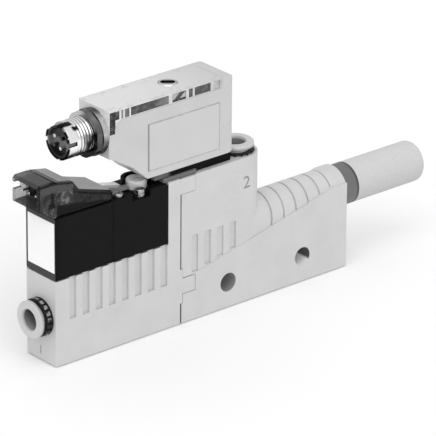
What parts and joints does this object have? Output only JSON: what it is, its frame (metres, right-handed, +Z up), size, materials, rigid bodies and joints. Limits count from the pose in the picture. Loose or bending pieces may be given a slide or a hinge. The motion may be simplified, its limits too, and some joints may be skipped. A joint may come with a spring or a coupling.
{
  "type": "vacuum ejector",
  "caption": "Flat vacuum ejector with push-in supply and vacuum ports, ribbed barrel, porous silencer, pilot valve with clear plug hood and vacuum switch with round plug.",
  "frame": {"origin": "middle of the flat underside", "axes": "+X from the supply port to the silencer, +Y across the flat body away from the side with the valve screws, +Z up"},
  "size_m": [0.1086, 0.0102, 0.054],
  "materials": {
    "pale_plastic": "fine matt moulding",
    "release_plastic": "satin",
    "black_plastic": "matt",
    "rubber": "matt",
    "steel": "satin",
    "nickel": "satin nickel",
    "brass": "turned",
    "porous_plastic": "porous, fine grain",
    "grey_plastic": "matt",
    "label_film": "satin film",
    "smoke_clear": "smoky clear plastic",
    "milky_clear": "milky clear plastic",
    "circuit_board": "solder mask",
    "components": "moulded",
    "bobbin_plastic": "natural",
    "copper": "enamelled copper wire",
    "lamp": "clear resin"
  },
  "bodies": {
    "housing": {"valve_block": "pale_plastic", "ejector_body": "pale_plastic", "seam_seal": "rubber", "supply_cartridge": "black_plastic", "supply_grip_ring": "steel", "supply_tube_seal": "rubber", "vacuum_cartridge": "black_plastic", "vacuum_grip_ring": "steel", "vacuum_tube_seal": "rubber", "jet_nozzle": "brass", "receiver_nozzle": "brass", "nozzle_seals": "rubber", "silencer_collar": "grey_plastic", "silencer_tube": "porous_plastic", "valve_gasket": "rubber", "valve_body": "black_plastic", "coil_housing": "black_plastic", "valve_label": "label_film", "coil_bobbin": "bobbin_plastic", "coil_winding": "copper", "coil_yoke": "steel", "coil_core": "steel", "armature_spring": "steel", "valve_screws": "steel", "override_spring": "steel", "override_collar": "black_plastic", "plug_hood": "smoke_clear", "contact_carrier": "black_plastic", "contact_pins": "brass", "plug_board": "circuit_board", "plug_components": "components", "plug_lamp": "lamp", "coil_terminals": "steel", "switch_foot": "grey_plastic", "foot_gasket": "rubber", "switch_housing": "pale_plastic", "switch_cap": "milky_clear", "switch_label": "label_film", "switch_board": "circuit_board", "display_parts": "components", "trimmer": "components", "pressure_cell": "components", "suction_nipple": "brass", "nipple_seal": "rubber", "thread_sleeve": "nickel", "plug_nut": "nickel", "plug_flange": "nickel", "plug_insert": "black_plastic", "plug_pins": "brass"},
    "supply_release": {"supply_release_ring": "release_plastic"},
    "vacuum_release": {"vacuum_release_ring": "release_plastic"},
    "override": {"override_button": "release_plastic"},
    "armature": {"armature": "steel", "poppet_seal": "rubber"},
    "setpoint": {"setpoint_screw": "steel"}
  },
  "joints": [
    {"name": "supply_release_push", "type": "slide", "parent": "housing", "child": "supply_release", "axis": [1, 0, 0], "range_m": [0, 0.0008], "stiffness_N_per_m": 500, "springref_m": -0.0004},
    {"name": "vacuum_release_push", "type": "slide", "parent": "housing", "child": "vacuum_release", "axis": [0, 0, -1], "range_m": [0, 0.0008], "stiffness_N_per_m": 500, "springref_m": -0.0004},
    {"name": "override_push", "type": "slide", "parent": "housing", "child": "override", "axis": [0, 0, -1], "range_m": [0, 0.0006], "stiffness_N_per_m": 600, "springref_m": -0.0005, "deforming": ["override_spring"]},
    {"name": "armature_stroke", "type": "slide", "parent": "housing", "child": "armature", "axis": [-1, 0, 0], "range_m": [0, 0.0005], "stiffness_N_per_m": 600, "springref_m": -0.001, "deforming": ["armature_spring"]},
    {"name": "setpoint_turn", "type": "hinge", "parent": "housing", "child": "setpoint", "pos_m": [-0.00637, 0, 0.0538], "axis": [0, 0, 1], "range_deg": [-135, 135]}
  ]
}
